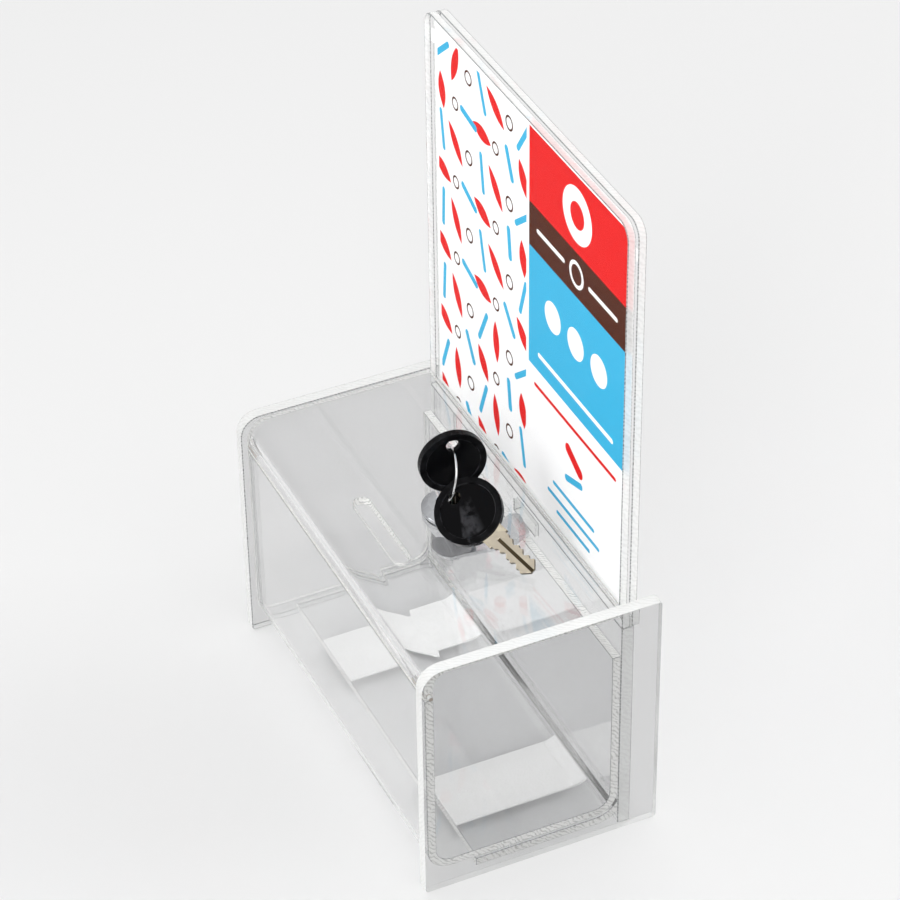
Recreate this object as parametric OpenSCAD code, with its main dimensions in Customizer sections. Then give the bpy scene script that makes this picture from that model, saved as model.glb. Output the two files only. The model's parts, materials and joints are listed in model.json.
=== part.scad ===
// Countertop donation box in clear acrylic sheet: a bent shell between two end
// panels, a sign header at the back, and a hinged lid with a slot and a cam lock.
// X runs along the box, -Y is the front, +Z is up, and the box stands on Z = 0.

/* [Box] */
// Length over the two end panels
box_length = 162; // [130:1:220]
// Depth of the end panels
box_depth = 90; // [80:1:130]
// Height of the end panels
box_height = 99; // [84:1:130]
// Thickness of the end panels and the back panel
panel_wall = 4.8; // [4:0.2:6.4]
// Radius of the end panels' top front corner
panel_corner = 8; // [5:0.5:12]
// Radius that softens the end panels' other corners
panel_ease = 1.2; // [0.5:0.1:2]

/* [Bent sheets] */
// Thickness of the shell, the lid and the foot shelf
sheet_wall = 3.2; // [2.4:0.1:4]
// Outer radius of the bends
bend_radius = 9; // [6:0.5:12]
// Set-back of the shell's front behind the end panels' front edges
shell_inset = 2.2; // [1:0.1:6]

/* [Foot shelf and foam] */
// Height of the foot shelf's underside above the table
shelf_lift = 2.6; // [1:0.1:6]
// Depth of the flat part of the foot shelf that shows in front of the back panel
shelf_reach = 55.5; // [30:0.5:70]
// Thickness of the foam tape
foam_thickness = 1; // [0.5:0.1:2]
// Width of the foam tape
foam_width = 25.4; // [12:0.1:30]
// Middle of the left foam strip, from the middle of the box
foam_left_x = -37.5; // [-55:0.5:-20]
// Middle of the right foam strip, from the middle of the box
foam_right_x = 47; // [20:0.5:55]

/* [Header] */
// Height of the header's top above the table
header_top = 251.5; // [180:0.5:320]
// Thickness of each header sheet
header_sheet = 3; // [2:0.1:4]
// Gap between the header sheets, where the sign slides in
sign_gap = 0.8; // [0.6:0.1:2]
// Depth of the end panels that stands out behind the header
rear_foot = 7.2; // [4:0.1:14]
// How far the header reaches down below the end panels' tops
header_sink = 9; // [6:0.5:14]
// Radius of the header's top corners
header_corner = 6; // [2:0.5:12]
// Height of the spacer that closes the sign pocket at the bottom
spacer_height = 4.5; // [3:0.5:8]

/* [Sign] */
// Thickness of the sign card
sign_thickness = 0.3; // [0.2:0.05:0.5]
// Play between the sign card and the pads at its sides
sign_play = 0.6; // [0.3:0.1:3]
// Distance of the sign card's top below the header's top
sign_drop = 4.6; // [1:0.1:20]

/* [Lid] */
// Gap between the lid and what stands round it
lid_gap = 0.4; // [0.3:0.05:0.8]
// Distance from the lid's top down to the shell's front wall
lip_height = 13.4; // [12.6:0.1:20]
// Length of the money slot
slot_length = 40; // [25:0.5:60]
// Width of the money slot
slot_width = 6.4; // [4:0.1:10]
// Distance of the money slot's middle behind the lid's front
slot_back = 18.4; // [16:0.1:24]
// Sideways shift of the money slot and the lock from the middle
lock_shift = 3; // [-10:0.5:10]
// Diameter of the two hinge pins
pin_diameter = 1.6; // [1.2:0.1:2]
// Length of a hinge pin inside the lid
pin_reach = 8; // [5:0.5:12]
// Depth of the blind pin holes in the end panels
pin_depth = 3; // [2:0.1:3.4]

/* [Lock] */
// How far the lock's head stands out round the barrel
head_overhang = 3.4; // [2.4:0.1:5]
// Height of the lock's head above the lid
head_height = 3; // [2:0.1:5]
// Wall of the barrel round the plug
barrel_wall = 1.9; // [1.6:0.1:3]
// Wall of the barrel at its two flats
flat_wall = 1; // [0.7:0.1:1.5]
// Depth of the barrel below the lid's top
barrel_depth = 17.7; // [14:0.1:24]
// Diameter of the turning plug
plug_diameter = 11.8; // [11:0.1:14.4]
// Reach of the cam from the lock's axis
cam_reach = 26.6; // [20:0.1:30]
// Gap between the cam's tip, as it swings, and the back panel
cam_tip_gap = 0.5; // [0.3:0.1:3]
// Gap between the cam and the top of the shell's back wall
cam_clearance = 1.2; // [0.5:0.1:20]
// Width of the cam
cam_width = 13; // [10:0.1:16]
// Thickness of the cam
cam_wall = 1.6; // [1:0.1:2.5]
// How far the cam's tip is cranked up
cam_crank = 3; // [0:0.1:6]
// Turn of the cam and the key from straight back, at rest
lock_turn = 8; // [0:1:20]

/* [Keys] */
// Diameter of a key's plastic bow
bow_diameter = 24.4; // [20:0.1:26]
// Thickness of a key's bow
bow_wall = 3.2; // [2.4:0.1:4]
// Width of a key's blade
blade_width = 7; // [6:0.1:7.4]
// Thickness of a key's blade
blade_wall = 2; // [1.6:0.1:2.2]
// Distance from the bow's middle to the blade's tip
key_length = 32.2; // [28:0.1:36]
// Distance from the bow's middle to its hole
hole_offset = 7.2; // [6:0.1:8]
// Diameter of the hole in the bow
hole_diameter = 4.8; // [4:0.1:5.4]
// Radius of the wire ring, to the middle of the wire
ring_radius = 10.5; // [10:0.1:12]
// Diameter of the ring's wire
wire_diameter = 0.8; // [0.6:0.1:1.2]

/* [Hidden] */

$fn = 72;

// Colours
clear_color = [0.86, 0.9, 0.88, 0.45];
foam_color = "white";
paper_color = [0.97, 0.96, 0.94];
chrome_color = [0.75, 0.76, 0.78];
nickel_color = [0.8, 0.74, 0.6];
bow_color = [0.06, 0.06, 0.07];

// A sliver that lets a cut run past the face it opens
past = 0.5;
// Radial clearance of a pin or a plug that turns in its bore
running_fit = 0.06;

// Places along the box
half_length = box_length / 2;
inner_half = half_length - panel_wall;
inner_length = 2 * inner_half;

// Places across the box
panel_front = -box_depth / 2;
header_thickness = 2 * header_sheet + sign_gap;
header_rear = box_depth / 2 - rear_foot;
header_front = header_rear - header_thickness;
shell_front = panel_front + shell_inset;

// Heights
header_bottom = box_height - header_sink;
shelf_top = shelf_lift + sheet_wall;
shell_bottom = shelf_top + foam_thickness;
lid_top = box_height - lid_gap;
lid_under = lid_top - sheet_wall;
front_wall_top = lid_top - lip_height;

// The hinge's axis lies in the middle of the lid's lip, whose end is round about it
pin_y = shell_front + sheet_wall / 2;
pin_z = front_wall_top + lid_gap + sheet_wall / 2;

// The bend at the shell's back, which the foam and the foot shelf follow
rear_bend_y = header_front - bend_radius;
rear_bend_z = shell_bottom + bend_radius;
shelf_front = header_front - shelf_reach;
foam_wrap = 40;

// The sign pocket
sign_bottom = header_bottom + spacer_height;
pad_length = 2.4;
sign_width = inner_length - 2 * (pad_length + sign_play);
sign_height = header_top - sign_drop - sign_bottom;
pad_height = 4.6;
pad_drop = 9;

// The lock
lock_y = header_front - norm([cam_reach, cam_width / 2]) - cam_tip_gap;
barrel_diameter = plug_diameter + 2 * barrel_wall;
barrel_flats = plug_diameter + 2 * flat_wall;
head_diameter = barrel_diameter + 2 * head_overhang;
head_top = lid_top + head_height;
head_rim = 1.2;
head_bezel = 2.6;
barrel_end = lid_top - barrel_depth;
washer_wall = 0.8;
washer_diameter = barrel_diameter + 5.4;
nut_flats = barrel_diameter + 3.4;
nut_height = 3.4;
tail_height = cam_wall + running_fit;
tail_width = 5.6;
cam_top = barrel_end - running_fit;
back_wall_top = cam_top - cam_wall - cam_clearance;
cam_bend = cam_reach - 6.4;
cam_root = 7;
keeper_length = 17;
keeper_height = 5;
screw_diameter = 3.4;
screw_depth = 6;
screw_head = 7.4;
screw_head_height = 2.2;
screw_end = barrel_end - tail_height + screw_depth;
driver_slot = [5.4, 0.9, 0.8];

// The wafers in the plug
wafer_count = 5;
wafer_wall = 1;
wafer_pitch = 2.4;
wafer_width = 5;
wafer_first = 4.2;
wafer_play = 0.1;
keyway_play = 0.15;
keyway_web = 1.7;
keyway_floor = screw_end + keyway_web;

// The keys
tip_gap = 0.4;
bow_z = keyway_floor + tip_gap + key_length;
bow_rim = 2.4;
bow_recess = 0.5;
blade_root = 5;
groove_width = 1.2;
groove_depth = 0.4;
shoulder_width = blade_width + 1.6;
shoulder_length = 3;
bitting = [0.9, 1.5, 0.7, 1.3, 0.5];
bit_pitch = 2.6;
bit_flat = 0.9;
tip_length = 2.6;

// The wire rests in the first key's hole, and the ring leans forward past that key's blade
ring_lean = 14.5;
wire_gap = 0.4;
ring_top_z = bow_z + hole_offset - (hole_diameter - wire_diameter) / 2 + wire_gap;

// The spare key hangs from this place round the ring, and the lower corner of its tip leans on the lid
spare_angle = 105;
spare_seat = 1.4;
spare_heading = 19.8;
spare_roll = 36.6;
tip_rise = 0.33 * blade_width;
spare_wire_z = ring_top_z - ring_radius * (1 - cos(spare_angle)) * cos(ring_lean);
spare_dip = asin((spare_wire_z - lid_top - tip_rise) / (hole_offset + spare_seat + key_length));

// ---- Helpers ----

// Moves a flat outline drawn as (depth, height) upright, and runs it along X
module along_box(from, to) {
    translate([from, 0, 0])
        rotate([90, 0, 90])
            linear_extrude(height = to - from) children();
}

// Moves a flat outline drawn as (length, height) upright, and runs it from front to back
module across_box(from, to) {
    translate([0, to, 0])
        rotate([90, 0, 0])
            linear_extrude(height = to - from) children();
}

// What a rounding removes from a corner whose inside points at +X +Y
module corner_waste(radius) {
    difference() {
        translate([-past, -past]) square(radius + past);
        translate([radius, radius]) circle(radius);
    }
}

// A rectangle between two corners, with its own radius at each corner
module eased_rectangle(low, high, low_left = 0, low_right = 0, top_left = 0, top_right = 0) {
    difference() {
        translate(low) square([high[0] - low[0], high[1] - low[1]]);
        if (low_left > 0) translate(low) corner_waste(low_left);
        if (low_right > 0) translate([high[0], low[1]]) mirror([1, 0]) corner_waste(low_right);
        if (top_left > 0) translate([low[0], high[1]]) mirror([0, 1]) corner_waste(top_left);
        if (top_right > 0) translate(high) rotate(180) corner_waste(top_right);
    }
}

// A slot with round ends
module round_slot(length, width) {
    square([length - width, width], center = true);
    for (side = [-1, 1]) translate([side * (length - width) / 2, 0]) circle(d = width);
}

// A sector of the rear bend between two radii, from straight down to an angle
module rear_bend(inner, outer, angle) {
    far = 2 * outer;
    translate([rear_bend_y, rear_bend_z])
        difference() {
            circle(outer);
            circle(inner);
            translate([-far, -far]) square([far, 2 * far]);
            rotate(angle) translate([0, -far]) square([far, 2 * far]);
        }
}

// Places what turns with the key on the lock's axis
module on_lock_axis(height) {
    translate([lock_shift, lock_y, height]) rotate([0, 0, -lock_turn]) children();
}

// A barrel outline with two flats
module flatted_circle(diameter, flats) {
    intersection() {
        circle(d = diameter);
        square([flats, 2 * diameter], center = true);
    }
}

// ---- Fixed box ----

module end_panel_blank(from) {
    along_box(from, from + panel_wall)
        eased_rectangle([panel_front, 0], [box_depth / 2, box_height],
                        panel_ease, panel_ease, panel_corner, panel_ease);
}

module pin_hole(from, length) {
    translate([from, pin_y, pin_z]) rotate([0, 90, 0]) cylinder(d = pin_diameter, h = length);
}

module left_end_panel() {
    color(clear_color)
        difference() {
            end_panel_blank(-half_length);
            pin_hole(-inner_half - pin_depth, pin_depth + past);
        }
}

module right_end_panel() {
    color(clear_color)
        difference() {
            end_panel_blank(inner_half);
            pin_hole(inner_half - past, pin_depth + past);
        }
}

// Front wall, floor and back wall, bent from one sheet
module body_shell() {
    inner_bend = bend_radius - sheet_wall;
    color(clear_color)
        along_box(-inner_half, inner_half)
            difference() {
                eased_rectangle([shell_front, shell_bottom], [header_front, front_wall_top],
                                bend_radius, bend_radius);
                eased_rectangle([shell_front + sheet_wall, shell_bottom + sheet_wall],
                                [header_front - sheet_wall, front_wall_top + past],
                                inner_bend, inner_bend);
                translate([0, back_wall_top])
                    square([header_front + past, front_wall_top - back_wall_top + past]);
            }
}

// The thick panel behind the shell, which carries the header and has the cam's keeper slot
module back_panel() {
    keeper_z = cam_top + cam_crank - cam_wall / 2;
    color(clear_color)
        across_box(header_front, header_front + panel_wall)
            difference() {
                translate([-inner_half, 0]) square([inner_length, header_bottom]);
                translate([lock_shift, keeper_z]) round_slot(keeper_length, keeper_height);
            }
}

// The sheet under the floor, bent up at the back to meet the back panel
module foot_shelf() {
    color(clear_color)
        along_box(-inner_half, inner_half) {
            translate([shelf_front, shelf_lift])
                square([rear_bend_y - shelf_front, sheet_wall]);
            intersection() {
                rear_bend(bend_radius + foam_thickness, bend_radius + foam_thickness + sheet_wall, 90);
                translate([shelf_front, 0]) square([header_front - shelf_front, rear_bend_z]);
            }
        }
}

// Foam tape between the foot shelf and the shell's floor, wrapped a little way up the bend
module foam_strip(middle) {
    color(foam_color)
        along_box(middle - foam_width / 2, middle + foam_width / 2) {
            translate([shelf_front, shelf_top])
                square([rear_bend_y - shelf_front, foam_thickness]);
            rear_bend(bend_radius, bend_radius + foam_thickness, foam_wrap);
        }
}

module foam_strip_left() { foam_strip(foam_left_x); }

module foam_strip_right() { foam_strip(foam_right_x); }

// ---- Header ----

module header_sheet_at(front) {
    color(clear_color)
        across_box(front, front + header_sheet)
            eased_rectangle([-inner_half, header_bottom], [inner_half, header_top],
                            0, 0, header_corner, header_corner);
}

module header_front_sheet() { header_sheet_at(header_front); }

module header_rear_sheet() { header_sheet_at(header_rear - header_sheet); }

// Closes the pocket at the bottom, and the sign stands on it
module pocket_spacer() {
    color(clear_color)
        translate([-inner_half, header_front + header_sheet, header_bottom])
            cube([inner_length, sign_gap, spacer_height]);
}

// Two small white pads hold the sheets apart beside the sign
module pocket_pads() {
    color(foam_color)
        for (side = [-1, 1])
            translate([side * (inner_half - pad_length / 2) - pad_length / 2,
                       header_front + header_sheet, header_top - pad_drop - pad_height])
                cube([pad_length, sign_gap, pad_height]);
}

module sign_card() {
    color(paper_color)
        translate([-sign_width / 2, header_front + header_sheet + (sign_gap - sign_thickness) / 2,
                   sign_bottom])
            cube([sign_width, sign_thickness, sign_height]);
}

// ---- Lid and hinge ----

module hinge_pin(from) {
    length = pin_depth + lid_gap + pin_reach;
    color(chrome_color)
        translate([from, pin_y, pin_z]) rotate([0, 90, 0]) cylinder(d = pin_diameter, h = length);
}

module hinge_pin_left() { hinge_pin(-inner_half - pin_depth); }

module hinge_pin_right() { hinge_pin(inner_half + pin_depth - (pin_depth + lid_gap + pin_reach)); }

// Top plate and front lip, bent from one sheet, with the money slot and the lock's hole
module lid() {
    lid_half = inner_half - lid_gap;
    lid_back = header_front - lid_gap;
    bore = pin_diameter + 2 * running_fit;
    bore_depth = pin_reach + lid_gap;
    color(clear_color)
        difference() {
            along_box(-lid_half, lid_half) {
                difference() {
                    eased_rectangle([shell_front, pin_z], [lid_back, lid_top],
                                    0, 0, bend_radius);
                    eased_rectangle([shell_front + sheet_wall, pin_z - past],
                                    [lid_back + past, lid_under],
                                    0, 0, bend_radius - sheet_wall);
                }
                translate([pin_y, pin_z]) circle(d = sheet_wall);
            }
            translate([lock_shift, shell_front + slot_back, lid_under - past])
                linear_extrude(height = sheet_wall + 2 * past) round_slot(slot_length, slot_width);
            translate([lock_shift, lock_y, lid_under - past])
                linear_extrude(height = sheet_wall + 2 * past)
                    flatted_circle(barrel_diameter, barrel_flats);
            for (side = [-1, 1])
                translate([side * (lid_half - bore_depth / 2 + past / 2), pin_y, pin_z])
                    rotate([0, 90, 0])
                        cylinder(d = bore, h = bore_depth + past, center = true);
        }
}

// ---- Lock ----

// Head with a sloping bezel, and a flatted barrel that passes through the lid
module lock_housing() {
    bezel_radius = head_diameter / 2 - head_bezel;
    color(chrome_color)
        translate([lock_shift, lock_y, 0])
            difference() {
                union() {
                    translate([0, 0, lid_top])
                        rotate_extrude()
                            polygon([[0, 0], [head_diameter / 2, 0], [head_diameter / 2, head_rim],
                                     [bezel_radius, head_height], [0, head_height]]);
                    translate([0, 0, barrel_end])
                        linear_extrude(height = lid_top - barrel_end)
                            flatted_circle(barrel_diameter, barrel_flats);
                }
                translate([0, 0, barrel_end - past])
                    cylinder(d = plug_diameter + 2 * running_fit, h = head_top - barrel_end + 2 * past);
            }
}

module lock_washer() {
    color(chrome_color)
        translate([lock_shift, lock_y, lid_under - washer_wall])
            linear_extrude(height = washer_wall)
                difference() {
                    circle(d = washer_diameter);
                    circle(d = barrel_diameter);
                }
}

module lock_nut() {
    color(chrome_color)
        translate([lock_shift, lock_y, lid_under - washer_wall - nut_height])
            linear_extrude(height = nut_height)
                difference() {
                    circle(d = nut_flats / cos(30), $fn = 6);
                    circle(d = barrel_diameter);
                }
}

// One wafer's place, counted down from the plug's face
function wafer_z(index) = head_top - wafer_first - index * wafer_pitch;

// Turning core with its keyway, its wafer slots and a square tail for the cam
module lock_plug() {
    slot_wall = wafer_wall + wafer_play;
    keyway_depth = head_top - keyway_floor;
    color(chrome_color)
        on_lock_axis(0)
            difference() {
                union() {
                    translate([0, 0, barrel_end])
                        cylinder(d = plug_diameter, h = head_top - barrel_end - 0.4);
                    translate([-tail_width / 2, -tail_width / 2, barrel_end - tail_height])
                        cube([tail_width, tail_width, tail_height + past]);
                }
                translate([-(blade_wall + keyway_play) / 2, -(blade_width + keyway_play) / 2,
                           keyway_floor])
                    cube([blade_wall + keyway_play, blade_width + keyway_play, keyway_depth + past]);
                for (index = [0 : wafer_count - 1])
                    translate([-(wafer_width + wafer_play) / 2, -plug_diameter, wafer_z(index) - slot_wall])
                        cube([wafer_width + wafer_play, 2 * plug_diameter, slot_wall]);
                translate([0, 0, barrel_end - tail_height - past])
                    cylinder(d = screw_diameter, h = screw_depth + past);
            }
}

// Flat wafers that the key's cuts draw level with the plug
module lock_wafers() {
    color(nickel_color)
        on_lock_axis(0)
            for (index = [0 : wafer_count - 1])
                translate([0, 0, wafer_z(index) - wafer_wall - wafer_play])
                    linear_extrude(height = wafer_wall)
                        difference() {
                            intersection() {
                                square([wafer_width, plug_diameter], center = true);
                                circle(d = plug_diameter - 2 * wafer_play);
                            }
                            square([blade_wall + keyway_play, blade_width + keyway_play], center = true);
                        }
}

// Flat arm on the plug's tail, cranked up to its tip
module cam() {
    bend_end = cam_bend + cam_crank;
    profile = [[-cam_root, 0], [-cam_root, -cam_wall], [cam_bend + cam_wall / 2, -cam_wall],
               [bend_end + cam_wall / 2, cam_crank - cam_wall], [cam_reach, cam_crank - cam_wall],
               [cam_reach, cam_crank], [bend_end - cam_wall / 2, cam_crank],
               [cam_bend - cam_wall / 2, 0]];
    color(chrome_color)
        on_lock_axis(cam_top)
            difference() {
                intersection() {
                    translate([-cam_width / 2, 0, 0])
                        rotate([90, 0, 90]) linear_extrude(height = cam_width) polygon(profile);
                    translate([0, 0, -cam_wall - past])
                        linear_extrude(height = cam_wall + cam_crank + 2 * past)
                            union() {
                                circle(cam_root);
                                eased_rectangle([-cam_width / 2, 0], [cam_width / 2, cam_reach],
                                                0, 0, 2, 2);
                            }
                }
                translate([-tail_width / 2, -tail_width / 2, -cam_wall - past])
                    cube([tail_width, tail_width, cam_wall + 2 * past]);
            }
}

module cam_washer() {
    color(chrome_color)
        on_lock_axis(barrel_end - tail_height - washer_wall)
            linear_extrude(height = washer_wall)
                difference() {
                    circle(d = screw_head + 2);
                    circle(d = screw_diameter);
                }
}

module cam_screw() {
    under = barrel_end - tail_height - washer_wall;
    color(chrome_color)
        on_lock_axis(0)
            difference() {
                union() {
                    translate([0, 0, under]) cylinder(d = screw_diameter, h = screw_depth + washer_wall);
                    translate([0, 0, under - screw_head_height])
                        cylinder(d = screw_head, h = screw_head_height);
                }
                for (turn = [0, 90])
                    rotate([0, 0, turn])
                        translate([-driver_slot[0] / 2, -driver_slot[1] / 2,
                                   under - screw_head_height - past])
                            cube([driver_slot[0], driver_slot[1], driver_slot[2] + past]);
            }
}

// ---- Keys ----

// A key stands with its bow's middle at the origin, its faces along X and its blade down -Z

module bow_solid() {
    radius = bow_diameter / 2;
    rotate([0, 90, 0])
        difference() {
            cylinder(r = radius, h = bow_wall, center = true);
            for (side = [-1, 1])
                translate([0, 0, side * bow_wall / 2])
                    cylinder(r = radius - bow_rim, h = 2 * bow_recess, center = true);
            translate([-hole_offset, 0, 0]) cylinder(d = hole_diameter, h = 2 * bow_wall, center = true);
            translate([radius - blade_root, -shoulder_width / 2, -blade_wall / 2])
                cube([blade_root + past, shoulder_width, blade_wall]);
        }
}

// The blade's outline, drawn with its length along +Y from the bow's middle
module blade_outline() {
    start = bow_diameter / 2 - blade_root;
    neck = bow_diameter / 2 + shoulder_length;
    first_bit = key_length - tip_length - (len(bitting) - 0.5) * bit_pitch;
    difference() {
        union() {
            translate([-shoulder_width / 2, start])
                square([shoulder_width, blade_root + shoulder_length]);
            translate([-blade_width / 2, neck - past])
                square([blade_width, key_length - neck + past]);
        }
        for (side = [-1, 1]) {
            for (index = [0 : len(bitting) - 1]) {
                depth = bitting[side > 0 ? index : len(bitting) - 1 - index];
                translate([side * blade_width / 2, first_bit + index * bit_pitch])
                    polygon([[side * past, -bit_flat / 2 - depth - past],
                             [-side * depth, -bit_flat / 2],
                             [-side * depth, bit_flat / 2],
                             [side * past, bit_flat / 2 + depth + past]]);
            }
            translate([side * blade_width / 2, key_length])
                polygon([[side * past, -tip_length - past], [side * past, past],
                         [-side * (tip_length + past), past]]);
        }
    }
}

module blade_solid() {
    rotate([-90, 0, 0]) rotate([0, 90, 0])
        difference() {
            translate([0, 0, -blade_wall / 2]) linear_extrude(height = blade_wall) blade_outline();
            for (side = [-1, 1])
                translate([-groove_width / 2, bow_diameter / 2 + shoulder_length,
                           side * (blade_wall - groove_depth) / 2 - groove_depth / 2])
                    cube([groove_width, key_length, groove_depth]);
        }
}

module key_bow() { color(bow_color) on_lock_axis(bow_z) bow_solid(); }

module key_blade() { color(nickel_color) on_lock_axis(bow_z) blade_solid(); }

// The ring's own frame: its middle, leaning forward from the first key's hole
module on_ring() {
    on_lock_axis(ring_top_z)
        rotate([-ring_lean, 0, 0])
            translate([0, 0, -ring_radius])
                children();
}

module key_ring() {
    color(chrome_color)
        on_ring()
            rotate([90, 0, 0])
                rotate_extrude() translate([ring_radius, 0]) circle(d = wire_diameter);
}

// The spare key hangs by its hole from the ring and leans on the lid
module on_spare_key() {
    on_ring()
        translate([ring_radius * sin(spare_angle), 0, ring_radius * cos(spare_angle)])
            rotate([ring_lean, 0, 0])
                rotate([0, 0, lock_turn + spare_heading])
                    rotate([0, spare_dip, 0])
                        rotate([spare_roll, 0, 0])
                            rotate([0, -90, 0])
                                translate([0, 0, -hole_offset - spare_seat])
                                    children();
}

module spare_key_bow() { color(bow_color) on_spare_key() bow_solid(); }

module spare_key_blade() { color(nickel_color) on_spare_key() blade_solid(); }

left_end_panel();
right_end_panel();
body_shell();
back_panel();
foot_shelf();
foam_strip_left();
foam_strip_right();
header_front_sheet();
header_rear_sheet();
pocket_spacer();
pocket_pads();
sign_card();
hinge_pin_left();
hinge_pin_right();
lid();
lock_housing();
lock_washer();
lock_nut();
lock_plug();
lock_wafers();
cam();
cam_washer();
cam_screw();
key_bow();
key_blade();
key_ring();
spare_key_bow();
spare_key_blade();
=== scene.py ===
"""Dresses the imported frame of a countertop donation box.

The box is clear acrylic sheet, with a printed sign in its header and a cam lock and two keys in its lid.
"""

import json
import logging
import math
from collections.abc import Callable
from dataclasses import dataclass, field
from enum import Enum

import bpy
from mathutils import Euler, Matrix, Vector

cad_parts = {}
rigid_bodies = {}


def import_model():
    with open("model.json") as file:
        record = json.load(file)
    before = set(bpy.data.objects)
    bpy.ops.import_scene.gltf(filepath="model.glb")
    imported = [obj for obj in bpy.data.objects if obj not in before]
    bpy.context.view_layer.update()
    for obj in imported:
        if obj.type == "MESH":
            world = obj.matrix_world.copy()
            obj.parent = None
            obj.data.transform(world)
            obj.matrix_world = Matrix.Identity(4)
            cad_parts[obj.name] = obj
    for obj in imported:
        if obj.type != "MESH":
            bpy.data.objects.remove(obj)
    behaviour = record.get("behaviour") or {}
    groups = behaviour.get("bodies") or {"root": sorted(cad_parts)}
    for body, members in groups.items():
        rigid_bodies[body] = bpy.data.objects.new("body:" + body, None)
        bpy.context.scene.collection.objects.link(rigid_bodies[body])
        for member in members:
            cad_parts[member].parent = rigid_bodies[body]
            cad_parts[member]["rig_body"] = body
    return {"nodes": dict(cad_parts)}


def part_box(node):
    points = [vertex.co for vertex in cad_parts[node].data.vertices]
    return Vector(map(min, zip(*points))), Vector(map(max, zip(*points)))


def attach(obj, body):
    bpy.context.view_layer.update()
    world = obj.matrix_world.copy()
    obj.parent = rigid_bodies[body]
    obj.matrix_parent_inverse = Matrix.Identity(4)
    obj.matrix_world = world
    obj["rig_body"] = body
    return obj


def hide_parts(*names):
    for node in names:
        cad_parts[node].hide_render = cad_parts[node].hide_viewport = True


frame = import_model()

LOG = logging.getLogger("donation_box")
SIDES = ("left", "right")

# Lengths are in metres, and the three turns below are in degrees.
MM = 0.001
CLOSE = 1e-5
SMOOTH_TURN = 20.0
SHARP_TURN = 35.0
FLAT_TURN = 0.5

# A face lies along an axis when its normal has less than this share on it.
ALONG = 0.5

ACRYLIC_INDEX = 1.49
EASE_STEPS = 2
BORE_SIDES = 32
HOLE_SIDES = 64

Triple = tuple[float, float, float]
Piece = bpy.types.Object
Material = bpy.types.Material
Socket = bpy.types.NodeSocket
Value = Socket | float | tuple[float, ...]
PointTest = Callable[[Vector], bool]
FaceTest = Callable[[bpy.types.MeshPolygon], bool]


class Axis(Enum):
    """A direction of the frame, by its place in a vector."""

    X = 0
    Y = 1
    Z = 2


class Picked(Enum):
    """What edit work picks in a mesh."""

    POINTS = "VERT"
    EDGES = "EDGE"
    FACES = "FACE"


class Skin(Enum):
    """The material slots of an acrylic sheet: its faces, its cut edges and the bevels between them, whose
    dark grey is painted shade.
    """

    FACE = 0
    EDGE = 1
    ARRIS = 2


# ---------------------------------------------------------------- mesh work


def deselect_all() -> None:
    """Leaves no object selected, so that an operator acts only on what is picked next."""
    if bpy.context.object and bpy.context.object.mode != "OBJECT":
        bpy.ops.object.mode_set(mode="OBJECT")
    bpy.ops.object.select_all(action="DESELECT")


def pick(piece: Piece) -> None:
    """Selects one piece and makes it active.

    Args:
        piece: The piece.
    """
    deselect_all()
    piece.select_set(True)
    bpy.context.view_layer.objects.active = piece


def settle(piece: Piece) -> None:
    """Moves a piece's place, turn and size into its mesh."""
    pick(piece)
    bpy.ops.object.transform_apply(location=True, rotation=True, scale=True)


def add_block(name: str, low: Vector, high: Vector) -> Piece:
    """Adds a block between two corners, as the start of a piece.

    Args:
        name: The piece's name.
        low: The block's lowest corner.
        high: The block's highest corner.

    Returns:
        The block, with its place in its mesh.
    """
    deselect_all()
    bpy.ops.mesh.primitive_cube_add(size=1, location=(low + high) / 2)
    block = bpy.context.object
    block.name = block.data.name = name
    block.scale = high - low
    settle(block)
    return block


def edit(piece: Piece, kind: Picked) -> None:
    """Makes a piece ready for edit work, with nothing of it selected.

    Args:
        piece: The piece.
        kind: What is picked in it.
    """
    pick(piece)
    bpy.ops.object.mode_set(mode="EDIT")
    bpy.ops.mesh.select_mode(type=kind.value)
    bpy.ops.mesh.select_all(action="DESELECT")
    bpy.ops.object.mode_set(mode="OBJECT")


def select_edges(piece: Piece, test: PointTest) -> int:
    """Selects the edges whose both ends pass a test, and opens the piece for edit work.

    Args:
        piece: The piece.
        test: Says of a point whether it counts.

    Returns:
        The number of edges selected.
    """
    edit(piece, Picked.EDGES)
    mesh = piece.data
    found = 0
    for edge in mesh.edges:
        edge.select = all(test(mesh.vertices[end].co) for end in edge.vertices)
        found += edge.select
    bpy.ops.object.mode_set(mode="EDIT")
    return found


def round_edges(piece: Piece, test: PointTest, radius: float, steps: int = 10) -> None:
    """Rounds the edges whose both ends pass a test.

    Args:
        piece: The piece.
        test: Says of a point whether it counts.
        radius: The radius of the rounding.
        steps: The flats round the arc.
    """
    if select_edges(piece, test):
        bpy.ops.mesh.bevel(offset=radius, segments=steps, affect="EDGES", clamp_overlap=False)
    bpy.ops.object.mode_set(mode="OBJECT")


def round_corner(piece: Piece, along: Axis, at: tuple[float, float], radius: float, steps: int = 10) -> None:
    """Rounds the edge that runs along an axis at one place.

    Args:
        piece: The piece.
        along: The axis.
        at: The edge's place in the other two directions.
        radius: The radius of the rounding.
        steps: The flats round the arc.
    """
    first, second = [axis.value for axis in Axis if axis is not along]
    round_edges(
        piece, lambda co: abs(co[first] - at[0]) < CLOSE and abs(co[second] - at[1]) < CLOSE, radius, steps)


def apply_modifiers(piece: Piece) -> None:
    """Applies all of a piece's modifiers in their order.

    Args:
        piece: The piece.
    """
    pick(piece)
    for modifier in list(piece.modifiers):
        bpy.ops.object.modifier_apply(modifier=modifier.name)


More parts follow.
